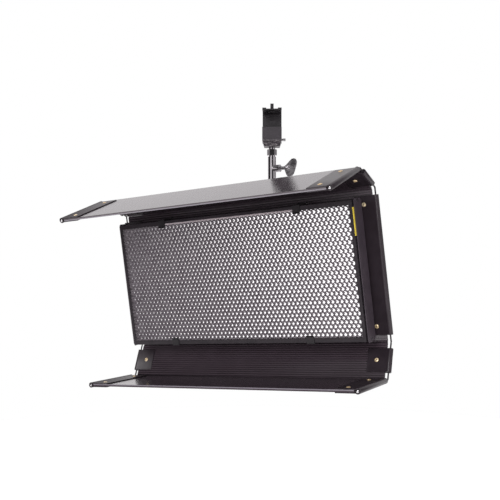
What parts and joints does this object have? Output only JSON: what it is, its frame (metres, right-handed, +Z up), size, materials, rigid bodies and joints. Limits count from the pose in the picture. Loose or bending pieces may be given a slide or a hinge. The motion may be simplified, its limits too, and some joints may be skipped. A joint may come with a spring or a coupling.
{
  "type": "barn door light head",
  "caption": "Folding fluted-plastic barn doors wrapped round a honeycomb-louvred panel light, with a tilting stem and a pipe clamp.",
  "frame": {"origin": "centre of the pipe seat in the clamp, on the stem's axis", "axes": "+Z up, +X along the light's length to its right-hand end, -Y the way the light faces"},
  "size_m": [0.6974, 0.4319, 0.6718],
  "materials": {
    "fluted_sheet": "satin black fluted plastic",
    "sleeve_plastic": "satin black smooth plastic",
    "rivet_brass": "bright",
    "wire_steel": "dark drawn wire",
    "louvre_black": "satin black",
    "honeycomb_silver": "bright foil",
    "tab_yellow": "satin",
    "body_black": "satin black",
    "diffuser_white": "opal",
    "board_white": "solder mask",
    "end_plate_grey": "satin dark",
    "screw_dark": "blackened",
    "screw_steel": "zinc",
    "inlet_black": "moulded",
    "clip_black": "satin black",
    "plate_black": "powder coat",
    "knob_black": "knurled",
    "arm_chrome": "polished",
    "stem_chrome": "polished",
    "wing_silver": "as cast, worn",
    "clamp_grey": "satin grey",
    "jaw_black": "satin black",
    "pin_silver": "turned"
  },
  "bodies": {
    "clamp": {"clamp_body": "clamp_grey", "jaw_pin": "pin_silver", "jaw_stud": "screw_steel", "spigot": "stem_chrome"},
    "jaw": {"clamp_jaw": "jaw_black"},
    "jaw_nut": {"jaw_wing_nut": "wing_silver"},
    "jaw_screw": {"pressure_screw": "jaw_black"},
    "stem": {"stem_tube": "stem_chrome", "tilt_knuckle": "arm_chrome", "stem_pin": "screw_steel"},
    "stem_lock": {"receiver_lock_screw": "wing_silver"},
    "arm": {"swivel_arm": "arm_chrome", "tilt_bolt": "screw_steel"},
    "tilt_wing": {"tilt_handle": "wing_silver"},
    "head": {"mount_plate": "plate_black", "mount_screws": "screw_steel", "twist_lock_ring": "plate_black", "back_panel": "fluted_sheet", "back_sleeves": "sleeve_plastic", "back_rivets": "rivet_brass", "back_wires": "wire_steel", "louvre_frame": "louvre_black", "honeycomb_core": "honeycomb_silver", "louvre_side_tab": "tab_yellow", "housing_tray": "body_black", "diffuser_sheet": "diffuser_white", "led_boards": "board_white", "end_plate_left": "end_plate_grey", "end_plate_right": "end_plate_grey", "end_plate_screws": "screw_dark", "power_inlet": "inlet_black", "clip_brackets": "clip_black", "clip_pins": "wire_steel"},
    "twist_knob": {"twist_lock_knob": "knob_black"},
    "top_hinge": {"top_hinge_panel": "fluted_sheet", "top_hinge_sleeves": "sleeve_plastic", "top_hinge_rivets": "rivet_brass", "top_hinge_wires": "wire_steel"},
    "top_door": {"top_door_panel": "fluted_sheet", "top_door_sleeves": "sleeve_plastic", "top_door_rivets": "rivet_brass", "top_door_wires": "wire_steel"},
    "bottom_hinge": {"bottom_hinge_panel": "fluted_sheet", "bottom_hinge_sleeves": "sleeve_plastic", "bottom_hinge_rivets": "rivet_brass", "bottom_hinge_wires": "wire_steel"},
    "bottom_door": {"bottom_door_panel": "fluted_sheet", "bottom_door_sleeves": "sleeve_plastic", "bottom_door_rivets": "rivet_brass", "bottom_door_wires": "wire_steel"},
    "clip_top_left": {"louvre_clip_top_left": "clip_black"},
    "clip_top_right": {"louvre_clip_top_right": "clip_black"},
    "clip_bottom_left": {"louvre_clip_bottom_left": "clip_black"},
    "clip_bottom_right": {"louvre_clip_bottom_right": "clip_black"}
  },
  "joints": [
    {"name": "jaw_open", "type": "hinge", "parent": "clamp", "child": "jaw", "pos_m": [-0.01408, 0.02649, -0.0375], "axis": [-0.8829, -0.4695, 0], "range_deg": [0, 25]},
    {"name": "jaw_nut_run", "type": "slide", "parent": "clamp", "child": "jaw_nut", "axis": [-0.4695, 0.8829, 0], "range_m": [0, 0.018]},
    {"name": "jaw_screw_turn", "type": "hinge", "parent": "jaw", "child": "jaw_screw", "pos_m": [0, 0, 0.0457], "axis": [0, 0, 1], "continuous": true},
    {"name": "pan", "type": "hinge", "parent": "clamp", "child": "stem", "pos_m": [0, 0, -0.0828], "axis": [0, 0, 1], "continuous": true},
    {"name": "stem_lock_turn", "type": "hinge", "parent": "stem", "child": "stem_lock", "pos_m": [0.0366, 0, -0.1116], "axis": [1, 0, 0], "continuous": true},
    {"name": "tilt", "type": "hinge", "parent": "stem", "child": "arm", "pos_m": [0, 0, -0.3539], "axis": [1, 0, 0], "range_deg": [-16, 60]},
    {"name": "tilt_wing_turn", "type": "hinge", "parent": "arm", "child": "tilt_wing", "pos_m": [0.03, 0, -0.3539], "axis": [1, 0, 0], "continuous": true},
    {"name": "twist", "type": "hinge", "parent": "arm", "child": "head", "pos_m": [0, -0.09527, -0.364], "axis": [0, 0.9944, 0.1054], "range_deg": [-85.9, 94.1]},
    {"name": "twist_knob_turn", "type": "hinge", "parent": "head", "child": "twist_knob", "pos_m": [-0.002, -0.10316, -0.33675], "axis": [-0.0715, -0.1051, 0.9919], "continuous": true},
    {"name": "top_hinge_fold", "type": "hinge", "parent": "head", "child": "top_hinge", "pos_m": [-0.01183, -0.13703, -0.20242], "axis": [-0.9974, 0.0075, -0.0711], "range_deg": [-30, 60]},
    {"name": "top_door_fold", "type": "hinge", "parent": "top_hinge", "child": "top_door", "pos_m": [-0.01476, -0.21196, -0.16924], "axis": [-0.9974, 0.0075, -0.0711], "range_deg": [-47.7, 42.3]},
    {"name": "bottom_hinge_fold", "type": "hinge", "parent": "head", "child": "bottom_hinge", "pos_m": [0.01126, -0.10307, -0.5228], "axis": [0.9974, -0.0075, 0.0711], "range_deg": [-59, 31]},
    {"name": "bottom_door_fold", "type": "hinge", "parent": "bottom_hinge", "child": "bottom_door", "pos_m": [0.01629, -0.13768, -0.59697], "axis": [0.9974, -0.0075, 0.0711], "range_deg": [-24.2, 65.8]},
    {"name": "clip_top_left_lift", "type": "hinge", "parent": "head", "child": "clip_top_left", "pos_m": [-0.18513, -0.16817, -0.23596], "axis": [-0.9974, 0.0075, -0.0711], "range_deg": [0, 40]},
    {"name": "clip_top_right_lift", "type": "hinge", "parent": "head", "child": "clip_top_right", "pos_m": [0.16398, -0.17081, -0.21107], "axis": [-0.9974, 0.0075, -0.0711], "range_deg": [0, 40]},
    {"name": "clip_bottom_left_lift", "type": "hinge", "parent": "head", "child": "clip_bottom_left", "pos_m": [-0.16398, -0.13707, -0.52936], "axis": [0.9974, -0.0075, 0.0711], "range_deg": [0, 40]},
    {"name": "clip_bottom_right_lift", "type": "hinge", "parent": "head", "child": "clip_bottom_right", "pos_m": [0.18513, -0.13971, -0.50447], "axis": [0.9974, -0.0075, 0.0711], "range_deg": [0, 40]}
  ],
  "couplings": [
    {"joint": "jaw_nut_run", "follows": "jaw_open", "m_per_rad": 0.041243}
  ]
}
